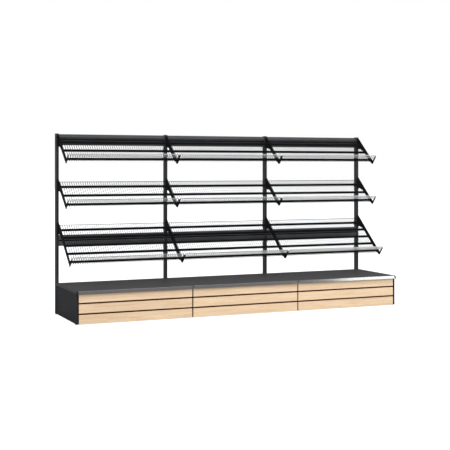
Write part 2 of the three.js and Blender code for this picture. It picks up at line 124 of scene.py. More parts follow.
def soften(piece, width, segments=2, weld=False):
    """Rounds the sharp edges. Faces that only lie against each other have to be welded first."""
    if weld:
        joined = piece.modifiers.new("joined", "WELD")
        joined.merge_threshold = MERGE_DISTANCE
    bevel = piece.modifiers.new("edges", "BEVEL")
    bevel.width = width
    bevel.segments = segments
    bevel.limit_method = "ANGLE"
    bevel.angle_limit = math.radians(BEVEL_ANGLE)
    level_shading(piece)


def level_shading(piece):
    """Keeps broad flat faces evenly shaded beside rounded edges and bends."""
    piece.modifiers.new("shading", "WEIGHTED_NORMAL").keep_sharp = True


def drawn_verts(drawn):
    return [v for v in drawn["geom"] if isinstance(v, bmesh.types.BMVert)]


def far_edges(drawn):
    """The edges between the vertices that an extrusion has made."""
    made = set(drawn_verts(drawn))
    return [e for e in drawn["geom"] if isinstance(e, bmesh.types.BMEdge) and set(e.verts) <= made]


def turned_out(bm):
    """Turns all faces the same way, and outwards where they close a shape."""
    bmesh.ops.recalc_face_normals(bm, faces=bm.faces)
    return bm


def line_through(bm, points, closed=False):
    """Joins points with edges and returns their vertices."""
    verts = [bm.verts.new(point) for point in points]
    run = verts + verts[:1] if closed else verts
    for pair in zip(run, run[1:]):
        bm.edges.new(pair)
    return verts


def round_corners(bm, corners, radius, steps=BEND_STEPS):
    """Rounds some corners of a line that carries no faces yet."""
    bmesh.ops.bevel(
        bm, geom=corners, offset=radius, segments=steps, profile=0.5, affect="VERTICES", material=-1
    )


def block(bm, low, high):
    """A block between two corners."""
    made = bmesh.ops.create_cube(bm, size=1)
    bmesh.ops.scale(bm, vec=Vector(high) - Vector(low), verts=made["verts"])
    bmesh.ops.translate(bm, vec=(Vector(high) + Vector(low)) / 2, verts=made["verts"])


def plate(bm, outline, start, end):
    """A flat plate from its side view, between two distances along the row."""
    verts = [bm.verts.new((start, y, z)) for y, z in outline]
    drawn = bmesh.ops.extrude_face_region(bm, geom=[bm.faces.new(verts)])
    bmesh.ops.translate(bm, vec=(end - start, 0, 0), verts=drawn_verts(drawn))


def folded_sheet(line, bend, start, end, inside):
    """The outer face of a sheet that is folded along a line of the side view and drawn out along the row.

    It is turned away from inside, a point of the side view.
    """
    bm = bmesh.new()
    verts = line_through(bm, [(start, y, z) for y, z in line])
    round_corners(bm, verts[1:-1], bend)
    drawn = bmesh.ops.extrude_edge_only(bm, edges=bm.edges[:])
    bmesh.ops.translate(bm, vec=(end - start, 0, 0), verts=drawn_verts(drawn))
    turned_out(bm)
    bm.normal_update()
    widest = max(bm.faces, key=lambda face: face.calc_area())
    if (widest.calc_center_median() - Vector((start, *inside))).dot(widest.normal) < 0:
        bmesh.ops.reverse_faces(bm, faces=bm.faces)
    return bm


def on_slope(along, rise):
    """A place in the side view, from its distance down the slope and its height square to it."""
    return (
        -along * math.cos(SLOPE) - rise * math.sin(SLOPE),
        -along * math.sin(SLOPE) + rise * math.cos(SLOPE),
    )


def arc_on_slope(along, rise, radius, start, end, steps):
    """Points round a centre on the slope. Zero degrees points square into the slope, and 90 down it."""
    turns = [math.radians(start + (end - start) * i / steps) for i in range(steps + 1)]
    return [on_slope(along + radius * math.sin(t), rise - radius * math.cos(t)) for t in turns]


# Small tools for finishes


def new_finish(name):
    """A new material, with its node tree and its shader."""
    material = bpy.data.materials.new(name)
    material.use_nodes = True
    return material, material.node_tree, material.node_tree.nodes["Principled BSDF"]


def object_place(tree):
    """The place on a piece, in metres."""
    return tree.nodes.new("ShaderNodeTexCoord").outputs["Object"]


def mapped(tree, vector, scale, shift=(0, 0, 0)):
    """A place stretched along each axis and then moved, as a pattern reads it."""
    mapping = tree.nodes.new("ShaderNodeMapping")
    mapping.inputs["Scale"].default_value = scale
    mapping.inputs["Location"].default_value = shift
    tree.links.new(vector, mapping.inputs["Vector"])
    return mapping.outputs["Vector"]


def vector_sum(tree, first, second):
    total = tree.nodes.new("ShaderNodeVectorMath")
    total.operation = "ADD"
    tree.links.new(first, total.inputs[0])
    tree.links.new(second, total.inputs[1])
    return total.outputs["Vector"]


def worked_out(tree, operation, *values):
    """What a Math node makes of its values. Each is a number or another node's output."""
    maths = tree.nodes.new("ShaderNodeMath")
    maths.operation = operation
    for socket, value in zip(maths.inputs, values):
        if isinstance(value, bpy.types.NodeSocket):
            tree.links.new(value, socket)
        else:
            socket.default_value = value
    return maths.outputs["Value"]


def noise(tree, vector, scale, detail, roughness=0.5):
    texture = tree.nodes.new("ShaderNodeTexNoise")
    texture.inputs["Scale"].default_value = scale
    texture.inputs["Detail"].default_value = detail
    texture.inputs["Roughness"].default_value = roughness
    tree.links.new(vector, texture.inputs["Vector"])
    return texture.outputs["Fac"]


def between(tree, value, low, high, from_low=0.3, from_high=0.7):
    """A value carried over from one range to another."""
    spread = tree.nodes.new("ShaderNodeMapRange")
    spread.inputs["From Min"].default_value = from_low
    spread.inputs["From Max"].default_value = from_high
    spread.inputs["To Min"].default_value = low
    spread.inputs["To Max"].default_value = high
    tree.links.new(value, spread.inputs["Value"])
    return spread.outputs["Result"]


def two_tones(tree, value, dark, light, start=0.3, end=0.7):
    """A colour that goes from dark to light as the value goes from start to end."""
    ramp = tree.nodes.new("ShaderNodeValToRGB")
    ramp.color_ramp.elements[0].position = start
    ramp.color_ramp.elements[1].position = end
    ramp.color_ramp.elements[0].color = (*dark, 1)
    ramp.color_ramp.elements[1].color = (*light, 1)
    tree.links.new(value, ramp.inputs["Fac"])
    return ramp.outputs["Color"]


def bump(tree, height, shader, strength, distance):
    raised = tree.nodes.new("ShaderNodeBump")
    raised.inputs["Strength"].default_value = strength
    raised.inputs["Distance"].default_value = distance
    tree.links.new(height, raised.inputs["Height"])
    tree.links.new(raised.outputs["Normal"], shader.inputs["Normal"])


# Finishes

PEEL_DEPTH = 0.0002
FIBRE_DEPTH = 0.0003

# Oak: how its patterns are stretched along X, Y and Z, how far they move from plank to plank and from
# bay to bay, and its colours
WANDER_STRETCH = (0.9, 9, 9)
FIGURE_STRETCH = (0.5, 7, 13)
FIBRE_STRETCH = (14, 420, 420)
PLANK_START = 0.5
PLANK_STEP = (2.37, 0.91)
BAY_STEP = 3.7
OAK_DARK = (0.77, 0.545, 0.345)
OAK_LIGHT = (0.91, 0.69, 0.46)
OAK_STREAK = (0.82, 0.68, 0.55)


def powder_coat(name, dark, light, roughness, grain=700, relief=0.25, shine=0.2):
    """Baked powder paint: a fine orange peel, with faint cloudy changes of tone."""
    material, tree, shader = new_finish(name)
    place = object_place(tree)
    cloud = noise(tree, place, scale=6, detail=4)
    tree.links.new(two_tones(tree, cloud, dark, light), shader.inputs["Base Color"])
    peel = noise(tree, place, scale=grain, detail=2)
    matt = between(tree, peel, low=roughness - 0.05, high=roughness + 0.07)
    tree.links.new(matt, shader.inputs["Roughness"])
    bump(tree, peel, shader, strength=relief, distance=PEEL_DEPTH)
    shader.inputs["Specular IOR Level"].default_value = shine
    return material


def light_oak(name, shift):
    """Lacquered pale oak with the grain along the row. Each plank has its own figure and its own tone."""
    material, tree, shader = new_finish(name)
    place = object_place(tree)
    parts = tree.nodes.new("ShaderNodeSeparateXYZ")
    tree.links.new(place, parts.inputs["Vector"])
    from_floor = worked_out(tree, "SUBTRACT", parts.outputs["Z"], FLOOR_GAP / 2)
    plank = worked_out(tree, "FLOOR", worked_out(tree, "DIVIDE", from_floor, PLANK_PITCH))
    apart = tree.nodes.new("ShaderNodeCombineXYZ")
    for axis, step in zip("XY", PLANK_STEP):
        tree.links.new(worked_out(tree, "MULTIPLY_ADD", plank, step, PLANK_START), apart.inputs[axis])
    own = vector_sum(tree, place, apart.outputs["Vector"])

    wander = noise(tree, mapped(tree, own, WANDER_STRETCH, (shift, 0, 0)), scale=1.6, detail=3)
    bent = vector_sum(tree, mapped(tree, own, FIGURE_STRETCH, (shift, shift, shift)), wander)
    figure = noise(tree, bent, scale=3, detail=6, roughness=0.65)
    tone = two_tones(tree, figure, OAK_DARK, OAK_LIGHT, start=0.34, end=0.62)
    drawn_out = mapped(tree, own, FIBRE_STRETCH, (shift, 0, 0))
    fibre = noise(tree, drawn_out, scale=1, detail=3, roughness=0.6)

    streak = tree.nodes.new("ShaderNodeMix")
    streak.data_type = "RGBA"
    streak.blend_type = "MULTIPLY"
    share = between(tree, fibre, low=0, high=0.35, from_low=0.45, from_high=0.75)
    tree.links.new(share, streak.inputs["Factor"])
    tree.links.new(tone, streak.inputs["A"])
    streak.inputs["B"].default_value = (*OAK_STREAK, 1)

    lot = tree.nodes.new("ShaderNodeTexWhiteNoise")
    lot.noise_dimensions = "1D"
    tree.links.new(worked_out(tree, "ADD", plank, shift), lot.inputs["W"])
    shade = tree.nodes.new("ShaderNodeHueSaturation")
    level = between(tree, lot.outputs["Value"], low=0.94, high=1.02, from_low=0, from_high=1)
    tree.links.new(level, shade.inputs["Value"])
    tree.links.new(streak.outputs["Result"], shade.inputs["Color"])
    tree.links.new(shade.outputs["Color"], shader.inputs["Base Color"])
    tree.links.new(between(tree, fibre, low=0.48, high=0.60), shader.inputs["Roughness"])
    bump(tree, fibre, shader, strength=0.2, distance=FIBRE_DEPTH)
    return material


def plastic(name, colour, roughness, shine=0.5, ior=1.5):
    """Moulded or extruded plastic, with a faint wave in its tone and gloss."""
    material, tree, shader = new_finish(name)
    wave = noise(tree, object_place(tree), scale=30, detail=2)
    dark = tuple(c * 0.96 for c in colour)
    tree.links.new(two_tones(tree, wave, dark, colour), shader.inputs["Base Color"])
    gloss = between(tree, wave, low=roughness * 0.9, high=roughness * 1.1)
    tree.links.new(gloss, shader.inputs["Roughness"])
    shader.inputs["Specular IOR Level"].default_value = shine
    shader.inputs["IOR"].default_value = ior
    return material


def clear_sheet(name, haze, painted_slant_sheen):
    """Clear extruded plastic with faint drawing lines along its length.

    Its haze grows where it is seen at a slant, as a painted sheen for the bright reflection that a clear
    sheet shows there.
    """
    material, tree, shader = new_finish(name)
    lines = noise(tree, mapped(tree, object_place(tree), (3, 300, 300)), scale=1, detail=2)
    tree.links.new(between(tree, lines, low=0.04, high=0.09), shader.inputs["Roughness"])
    tone = two_tones(tree, lines, (0.88, 0.89, 0.90), (0.94, 0.95, 0.96))
    tree.links.new(tone, shader.inputs["Base Color"])
    # The haze at a slant is a painted sheen: it stands in for the reflection of the bright surround.
    slant = tree.nodes.new("ShaderNodeLayerWeight").outputs["Facing"]
    haze_and_painted_sheen = between(tree, slant, low=haze, high=painted_slant_sheen, from_low=0.34, from_high=0.40)
    tree.links.new(haze_and_painted_sheen, shader.inputs["Alpha"])
    shader.inputs["IOR"].default_value = 1.47
    return material


black_coat = powder_coat(
    "black_powder_coat", (0.008, 0.0085, 0.009), (0.012, 0.0125, 0.0135), roughness=0.60, shine=0.03
)
post_coat = powder_coat(
    "post_powder_coat", (0.044, 0.045, 0.048), (0.053, 0.054, 0.058), roughness=0.50, shine=0.1
)
leg_coat = powder_coat(
    "base_leg_powder_coat", (0.017, 0.0185, 0.0215), (0.022, 0.024, 0.0275), roughness=0.50, shine=0.08
)
header_coat = powder_coat(
    "header_powder_coat", (0.047, 0.048, 0.050), (0.058, 0.059, 0.062), roughness=0.50
)
# The middle headers get a much lighter copy of the header paint: painted light that makes up for the light
# the shelves keep off them.
mid_header_lightened_coat = powder_coat(
    "mid_header_powder_coat_painted_lighter", (0.120, 0.122, 0.126), (0.140, 0.142, 0.147), roughness=0.50
)
deck_coat = powder_coat(
    "deck_powder_coat", (0.056, 0.056, 0.058), (0.066, 0.066, 0.068), roughness=0.55, grain=900, relief=0.35
)
kick_coat = powder_coat(
    "kick_powder_coat", (0.125, 0.034, 0.008), (0.155, 0.044, 0.011), roughness=0.65, shine=0.05
)
oak = {bay: light_oak(f"light_oak_bay_{bay}", BAY_STEP * bay) for bay in BAY_NUMBERS}
rail_plastic = plastic("glossy_rail_plastic", (0.106, 0.100, 0.098), roughness=0.12, shine=1.0, ior=1.7)
cap_plastic = plastic("end_cap_plastic", (0.020, 0.020, 0.021), roughness=0.65, shine=0.05)
foot_plastic = plastic("foot_plastic", (0.018, 0.018, 0.019), roughness=0.55)
clear_plastic = clear_sheet("clear_strip_plastic", haze=0.14, painted_slant_sheen=0.42)


# Posts: a hollow section with slots down the front, over a base leg that runs forward under the deck

POST_WIDTH = 0.030
POST_DEPTH = 0.060
POST_WALL = 0.002
POST_CORNER = 0.003
POST_EDGE = 0.0004
POST_SHARP = 30
POST_TOP = 1.958
POST_PLUG = 0.040
SLOT_WIDTH = 0.006
SLOT_HEIGHT = 0.017
SLOT_PITCH = 0.024
TOP_SLOT = 1.9145
SLOTS = 63
LEG_THICKNESS = 0.016
LEG_EDGE = 0.0012
LEG_BITE = 0.001
LEG_NOTCH = 0.3167
FLANGE_ROOM = 0.0021
END_LEG = {"front": -0.8122, "top": 0.3402}
MIDDLE_LEG = {"front": -0.7939, "top": LEG_NOTCH}


def slotted_post():
    """The outer face of a post, drawn upwards from slot to slot, with each slot left open."""
    bm = bmesh.new()
    half, slot = POST_WIDTH / 2, SLOT_WIDTH / 2
    outline = [(-half, 0), (-slot, 0), (slot, 0), (half, 0), (half, POST_DEPTH), (-half, POST_DEPTH)]
    ring = line_through(bm, [(x, y, FLOOR_GAP) for x, y in outline], closed=True)
    corners = [ring[0], *ring[3:]]
    round_corners(bm, corners, POST_CORNER)
    here, loop = FLOOR_GAP, bm.edges[:]
    steps = []
    for i in reversed(range(SLOTS)):
        middle = TOP_SLOT - i * SLOT_PITCH
        steps += [(middle - SLOT_HEIGHT / 2, False), (middle + SLOT_HEIGHT / 2, True)]
    steps.append((POST_TOP, False))
    for level, is_open in steps:
        drawn = bmesh.ops.extrude_edge_only(bm, edges=loop)
        bmesh.ops.translate(bm, vec=(0, 0, level - here), verts=drawn_verts(drawn))
        here, loop = level, far_edges(drawn)
        if is_open:
            faces = [f for f in drawn["geom"] if isinstance(f, bmesh.types.BMFace)]
            front = [f for f in faces if f.calc_center_median().xy.length < slot / 2]
            bmesh.ops.delete(bm, geom=front, context="FACES_ONLY")
    bmesh.ops.contextual_create(bm, geom=loop)
    return turned_out(bm)


def base_leg(number):
    """The leg under the deck, and the plug in the foot of the post that takes the rear levelling screw.

    A notch in the top of an end leg leaves room for the rear flange of the deck.
    """
    is_end = number in (1, BAYS + 1)
    leg = END_LEG if is_end else MIDDLE_LEG
    outline = [(leg["front"], FLOOR_GAP), (LEG_BITE, FLOOR_GAP), (LEG_BITE, LEG_NOTCH)]
    if is_end:
        outline += [(-FLANGE_ROOM, LEG_NOTCH), (-FLANGE_ROOM, leg["top"])]
    outline.append((leg["front"], leg["top"]))
    bm = bmesh.new()
    plate(bm, outline, -LEG_THICKNESS / 2, LEG_THICKNESS / 2)
    inner = POST_WIDTH / 2 - POST_WALL
    plug_top = FLOOR_GAP + POST_PLUG
    block(bm, (-inner, POST_WALL, FLOOR_GAP), (inner, POST_DEPTH - POST_WALL, plug_top))
    return turned_out(bm)


post = slotted_post()
for number, x in POSTS.items():
    piece = finished(f"slotted_post_{number}", post.copy(), post_coat, place=(x, 0, 0), sharp=POST_SHARP)
    wall(piece, POST_WALL)
    soften(piece, POST_EDGE)
    leg_piece = finished(f"base_leg_{number}", base_leg(number), leg_coat, place=(x, 0, 0))
    soften(leg_piece, LEG_EDGE)
    for part in (piece, leg_piece):
        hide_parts(f"upright_{number}")
post.free()


# Wire shelves, drawn level and then turned to the slope

WIRE_RADIUS = 0.0029
WIRE_SIDES = 8
WIRE_PITCH = 0.025
WIRE_BEND = 0.015
WIRE_BEND_STEPS = 6
NET_REAR = 0.075
NET_MARGIN = 0.0125
NET_LEVEL = 0.0018
NET_SHARP = 25
LIP_TOP = 0.103
LIP_BITE = 0.0002
LIP_WIRE_RADIUS = 0.0030
REAR_WIRE_RADIUS = 0.0027
END_WIRE_RADIUS = 0.0030
CROSS_WIRE_SIDES = 12
TUBE_RADIUS = 0.0135
TUBE_SIDES = 28
TUBE_LEVEL = -0.0149
TUBE_WALL = 0.0015
TUBE_BORE = 0.030
TUBE_START = 0.0085
TUBE_SETBACK = 0.060


def tube_places(tier):
    """How far down the slope each tube lies."""
    first, last = NET_REAR + TUBE_SETBACK, NET_REAR + tier["depth"] - TUBE_SETBACK
    return [first + (last - first) * i / (tier["tubes"] - 1) for i in range(tier["tubes"])]


def rod_along_row(bm, radius, sides, start, end, y, z):
    """A round bar along the row, with the face that closes each of its ends."""
    turn = Matrix.Translation((start, y, z)) @ Matrix.Rotation(math.pi / 2, 4, "Y")
    made = bmesh.ops.create_circle(bm, cap_ends=True, radius=radius, segments=sides, matrix=turn)
    near = made["verts"][0].link_faces[0]
    drawn = bmesh.ops.extrude_face_region(bm, geom=[near])
    bmesh.ops.translate(bm, vec=(end - start, 0, 0), verts=drawn_verts(drawn))
    far = next(g for g in drawn["geom"] if isinstance(g, bmesh.types.BMFace))
    return near, far


def open_tube(bm, start, end, y, z):
    """A round tube along the row, hollow for the first part of each end."""
    near, far = rod_along_row(bm, TUBE_RADIUS, TUBE_SIDES, start, end, y, z)
    for face, inward in ((near, 1), (far, -1)):
        bmesh.ops.inset_region(bm, faces=[face], thickness=TUBE_WALL, use_even_offset=True)
        sunk = bmesh.ops.extrude_discrete_faces(bm, faces=[face])
        bmesh.ops.translate(bm, vec=(inward * TUBE_BORE, 0, 0), verts=sunk["faces"][0].verts[:])


def bent_wire(radius, depth, level):
    """A wire that runs down the shelf and turns up at the front."""
    bm = bmesh.new()
    turn = Matrix.Translation((0, -NET_REAR, level)) @ Matrix.Rotation(math.pi / 2, 4, "X")
    bmesh.ops.create_circle(bm, radius=radius, segments=WIRE_SIDES, matrix=turn)
    drawn = bmesh.ops.extrude_edge_only(bm, edges=bm.edges[:])
    bmesh.ops.translate(bm, vec=(0, WIRE_BEND - depth, 0), verts=drawn_verts(drawn))
    drawn = bmesh.ops.spin(
        bm,
        geom=far_edges(drawn),
        cent=(0, -NET_REAR - depth + WIRE_BEND, level + WIRE_BEND),
        axis=(1, 0, 0),
        angle=-math.pi / 2,
        steps=WIRE_BEND_STEPS,
        use_duplicate=False,
    )
    front = [g for g in drawn["geom_last"] if isinstance(g, bmesh.types.BMEdge)]
    drawn = bmesh.ops.extrude_edge_only(bm, edges=front)
    bmesh.ops.translate(bm, vec=(0, 0, LIP_TOP - level - WIRE_BEND), verts=drawn_verts(drawn))
    bmesh.ops.holes_fill(bm, edges=bm.edges[:], sides=0)
    return turned_out(bm)


def add_copy(target, source, place):
    """Adds what source holds to target, moved to a place."""
    scratch = bpy.data.meshes.new("scratch")
    source.to_mesh(scratch)
    before = len(target.verts)
    target.from_mesh(scratch)
    bpy.data.meshes.remove(scratch)
    target.verts.ensure_lookup_table()
    bmesh.ops.translate(target, vec=place, verts=target.verts[before:])


def wire_shelf(tier):
    """The net of one shelf, with the tubes that it is welded to."""
    bm = bmesh.new()
    fine = bent_wire(WIRE_RADIUS, tier["depth"], NET_LEVEL)
    count = round((BAY - 2 * NET_MARGIN) / WIRE_PITCH)
    for i in range(1, count):
        add_copy(bm, fine, (NET_MARGIN + i * WIRE_PITCH, 0, 0))
    set_in = END_WIRE_RADIUS / 2
    stout = bent_wire(END_WIRE_RADIUS, tier["depth"] - set_in, NET_LEVEL - set_in)
    for x in (NET_MARGIN, BAY - NET_MARGIN):
        add_copy(bm, stout, (x, 0, 0))
    fine.free()
    stout.free()
    left, right = NET_MARGIN - END_WIRE_RADIUS, BAY - NET_MARGIN + END_WIRE_RADIUS
    rear = -NET_REAR + REAR_WIRE_RADIUS / 2
    rod_along_row(bm, REAR_WIRE_RADIUS, CROSS_WIRE_SIDES, left, right, rear, NET_LEVEL)
    behind = -NET_REAR - tier["depth"] + WIRE_RADIUS + LIP_WIRE_RADIUS - LIP_BITE
    rod_along_row(bm, LIP_WIRE_RADIUS, CROSS_WIRE_SIDES, left, right, behind, LIP_TOP - LIP_WIRE_RADIUS)
    for along in tube_places(tier):
        open_tube(bm, TUBE_START, BAY - TUBE_START, -along, TUBE_LEVEL)
    return turned_out(bm)


# Ticket strips: a clear strip that hangs over the lip wire, in front of the lip

STRIP_THICKNESS = 0.0015
STRIP_BEND = 0.0022
STRIP_HEIGHT = 0.040
STRIP_HOOK = 0.007
STRIP_INSET = 0.0095
STRIP_FRONT = 0.0033
STRIP_BACK = 0.0086
STRIP_TOP = 0.10485


def ticket_strip(tier):
    """A strip with a flat front, folded back over the lip wire and down behind it."""
    lip = -NET_REAR - tier["depth"]
    line = [
        (lip - STRIP_FRONT, STRIP_TOP - STRIP_HEIGHT),
        (lip - STRIP_FRONT, STRIP_TOP),
        (lip + STRIP_BACK, STRIP_TOP),
        (lip + STRIP_BACK, STRIP_TOP - STRIP_HOOK),
    ]
    inside = (lip, STRIP_TOP - STRIP_HEIGHT / 2)
    return folded_sheet(line, STRIP_BEND, STRIP_INSET, BAY - STRIP_INSET, inside)


for tier_name, tier in TIERS.items():
    net = wire_shelf(tier)
    strip = ticket_strip(tier)
    for bay in BAY_NUMBERS:
        turned = Matrix.Translation((POSTS[bay], 0, tier["line"])) @ Matrix.Rotation(SLOPE, 4, "X")
        for source, kind, material, slot in (
            (net, "wire_shelf", black_coat, "wire"),
            (strip, "ticket_strip", clear_plastic, "ticket_strip"),
        ):
            bm = source.copy()
            bmesh.ops.transform(bm, matrix=turned, verts=bm.verts)
            piece = finished(f"{kind}_{tier_name}_bay_{bay}", bm, material, sharp=NET_SHARP)
            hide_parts(f"{kind}_{tier_name}_{bay}")
            if source is strip:
                wall(piece, STRIP_THICKNESS)
                level_shading(piece)
    net.free()
    strip.free()


# Shelf brackets: cheeks on a tongue with two hooks, with ledges that the tubes lie on

TONGUE_FACE = 0.0025
CHEEK_FACE = 0.0065
LEDGE_FACE = 0.0145
JOIN = 0.001
BRACKET_TOP = -0.014
BRACKET_FOOT = -0.145
BRACKET_EDGE = 0.0005
TONGUE_REACH = 0.030
ARM_DEPTH = 0.040
GUSSET_LEVEL = 0.062
GUSSET_END = 0.190
GUSSET_STEPS = 12
TIP_DEPTH = 0.031
TIP_RADIUS = 0.019
TIP_STEPS = 8
NOSE_WIDTH = 0.015
NOSE_RISE = 0.094
NOSE_FORWARD = 0.0015
NOSE_STEPS = 10
CROOK_RADIUS = 0.004
CROOK_STEPS = 4
END_GUARD = 0.008
SPACER_DEPTH = 0.020
HOOKS = 2
HOOK_PITCH = 0.048
HOOK_THICKNESS = 0.004
HOOK_NECK = 0.014
HOOK_DROP = 0.006
LEDGE_TOP = -0.0287
LEDGE_THICKNESS = 0.004
LEDGE_REAR = 0.026
LEDGE_STOP = 0.014


def nose_edges(tier):
    """How far down the slope the nose starts and ends."""
    outer = NET_REAR + tier["depth"] + NOSE_FORWARD + NOSE_WIDTH / 2
    return outer - NOSE_WIDTH, outer


def gusset_curve():
    """The curve from the level foot of the gusset to the underside of the arm."""
    under = ARM_DEPTH / math.cos(SLOPE)
    first = Vector((-GUSSET_LEVEL, BRACKET_FOOT))
    corner = Vector(((BRACKET_FOOT + under) / math.tan(SLOPE), BRACKET_FOOT))
    last = Vector((-GUSSET_END, -GUSSET_END * math.tan(SLOPE) - under))
    shares = [i / GUSSET_STEPS for i in range(GUSSET_STEPS + 1)]
    return [first * (1 - t) ** 2 + corner * (2 * t * (1 - t)) + last * t ** 2 for t in shares]


def cheek_outline(tier, guard):
    """An arm down the slope with a gusset at the post, a rounded tip and an upturned nose.

    The guard is how far the arm stands above the level of the net.
    """
    inner, outer = nose_edges(tier)
    top_bend = (BRACKET_TOP - guard / math.cos(SLOPE)) / math.tan(SLOPE)
    outline = [(-SEAT, BRACKET_FOOT)]
    outline += [tuple(p) for p in gusset_curve()]
    outline += arc_on_slope(outer - TIP_RADIUS, TIP_RADIUS - TIP_DEPTH, TIP_RADIUS, 0, 90, TIP_STEPS)
    half = NOSE_WIDTH / 2
    outline += arc_on_slope(outer - half, NOSE_RISE - half, half, 90, 270, NOSE_STEPS)
    outline += arc_on_slope(inner - CROOK_RADIUS, guard + CROOK_RADIUS, CROOK_RADIUS, 90, 0, CROOK_STEPS)
    outline += [(top_bend, BRACKET_TOP), (-SEAT, BRACKET_TOP)]
    return outline


def tongue_outline():
    return [
        (-SEAT, BRACKET_TOP),
        (BRACKET_TOP / math.tan(SLOPE), BRACKET_TOP),
        (-TONGUE_REACH, -TONGUE_REACH * math.tan(SLOPE)),
        (-TONGUE_REACH, BRACKET_FOOT),
        (-SEAT, BRACKET_FOOT),
    ]


def hook_outline(bottom):
    """A hook that passes through a slot and drops behind the wall of the post."""
    front = -SEAT - HOOK_THICKNESS
    behind = POST_WALL + SEAT
    return [
        (front, bottom),
        (behind, bottom),
        (behind, bottom - HOOK_DROP),
        (behind + HOOK_THICKNESS, bottom - HOOK_DROP),
        (behind + HOOK_THICKNESS, bottom + HOOK_NECK),
        (front, bottom + HOOK_NECK),
    ]


def ledge_outline(tier):
    """A ledge under the tubes, with a stop in front of the last one."""
    tubes = tube_places(tier)
    rear = tubes[0] - LEDGE_REAR
    stop = tubes[-1] + TUBE_RADIUS + SEAT
    under = LEDGE_TOP - LEDGE_THICKNESS
    corners = [
        (rear, LEDGE_TOP),
        (rear, under),
        (stop + LEDGE_THICKNESS, under),
        (stop + LEDGE_THICKNESS, LEDGE_TOP + LEDGE_STOP),
        (stop, LEDGE_TOP + LEDGE_STOP),
        (stop, LEDGE_TOP),
    ]
    return [on_slope(*corner) for corner in corners]


def spacer_outline(tier):
    """The piece that keeps two cheeks apart at the nose."""
    inner, outer = nose_edges(tier)
    corners = [(inner, -SPACER_DEPTH), (outer, -SPACER_DEPTH), (outer, 0), (inner, 0)]
    return [on_slope(*corner) for corner in corners]


def shelf_bracket(tier, sides):
    """A bracket with a cheek on each of its sides: -1 is the left and 1 the right.

    One at the end of the row has a single cheek, which also guards the end of the net.
    """
    guard = END_GUARD if len(sides) == 1 else 0
    bm = bmesh.new()
    plate(bm, tongue_outline(), -TONGUE_FACE, TONGUE_FACE)
    for i in range(HOOKS):
        plate(bm, hook_outline(SEAT - tier["hook_fall"] - i * HOOK_PITCH), -TONGUE_FACE, TONGUE_FACE)
    for side in sides:
        plate(bm, cheek_outline(tier, guard), side * (TONGUE_FACE - JOIN), side * CHEEK_FACE)
        plate(bm, ledge_outline(tier), side * (CHEEK_FACE - JOIN), side * LEDGE_FACE)
    if len(sides) > 1:
        plate(bm, spacer_outline(tier), -TONGUE_FACE, TONGUE_FACE)
    return turned_out(bm)


for tier_name, tier in TIERS.items():
    for number, x in POSTS.items():
        sides = {1: [1], BAYS + 1: [-1]}.get(number, [-1, 1])
        bm = shelf_bracket(tier, sides)
        piece = finished(
            f"shelf_bracket_{tier_name}_post_{number}", bm, black_coat, place=(x, 0, tier["line"])
        )
        soften(piece, BRACKET_EDGE)
        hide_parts(f"bracket_{tier_name}_{number}")


# Price rails along the front edge of the deck, with a dark cap at each end of the row

RAIL_BACK = DECK_FRONT - SEAT
RAIL_BACK_HEIGHT = 0.024
RAIL_HEIGHT = 0.035
RAIL_TOP_DEPTH = 0.007
RAIL_LEAN = 0.013
RAIL_LIP = (0.006, 0.002)
RAIL_SHEET = 0.0014
RAIL_BEND = 0.0033
RAIL_JOINT = 0.011
CAP_LENGTH = 0.020
CAP_EDGE = 0.0012


def rail_line():
    """The folds of a rail, from its foot on the deck's flange over the top to the lip under its front."""
    bottom = DECK_TOP - RAIL_HEIGHT
    top_front = RAIL_BACK - RAIL_TOP_DEPTH
    return [
        (RAIL_BACK, DECK_TOP - RAIL_BACK_HEIGHT),
        (RAIL_BACK, DECK_TOP),
        (top_front, DECK_TOP),
        (top_front - RAIL_LEAN, bottom),
        (top_front - RAIL_LEAN + RAIL_LIP[0], bottom + RAIL_LIP[1]),
    ]


def rail_end_cap(start, end):
    """A solid cap with the side view of the rail."""
    _, top_back, top_front, bottom_front, _ = rail_line()
    bm = bmesh.new()
    plate(bm, [top_back, top_front, bottom_front, (RAIL_BACK, DECK_TOP - RAIL_HEIGHT)], start, end)
    return turned_out(bm)


row_left, row_right = -POST_WIDTH / 2, ROW + POST_WIDTH / 2
for bay in BAY_NUMBERS:
    left = row_left + CAP_LENGTH if bay == 1 else POSTS[bay] + RAIL_JOINT / 2
    right = row_right - CAP_LENGTH if bay == BAYS else POSTS[bay + 1] - RAIL_JOINT / 2
    inside = (RAIL_BACK - RAIL_TOP_DEPTH / 2, DECK_TOP - RAIL_HEIGHT / 2)
    bm = folded_sheet(rail_line(), RAIL_BEND, left, right, inside)
    rail = finished(f"price_rail_bay_{bay}", bm, rail_plastic)
    wall(rail, RAIL_SHEET)
    level_shading(rail)
    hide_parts(f"price_rail_{bay}")
for name, bay, start in (("left", 1, row_left), ("right", BAYS, row_right - CAP_LENGTH)):
    cap = finished(f"rail_end_cap_{name}", rail_end_cap(start, start + CAP_LENGTH), cap_plastic)
    soften(cap, CAP_EDGE, segments=3)
    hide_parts(f"price_rail_{bay}")


# Levelling feet: a round glide on a screw that runs up into the post or the leg

FOOT_PLACES = {"front": -0.760, "rear": 0.040}
FOOT_SIDES = 36
GLIDE_RADIUS = 0.014
GLIDE_RIM = 0.003
GLIDE_EDGE = 0.0009
GLIDE_EDGE_STEPS = 3
CROWN_RADIUS = 0.009
CROWN_TOP = 0.0057
STEM_RADIUS = 0.004
STEM_TOP = 0.034
FOOT_PROFILE = [
    (0, 0),
    (GLIDE_RADIUS, 0),
    (GLIDE_RADIUS, GLIDE_RIM),
    (CROWN_RADIUS, CROWN_TOP),
    (STEM_RADIUS, CROWN_TOP),
    (STEM_RADIUS, STEM_TOP),
    (0, STEM_TOP),
]


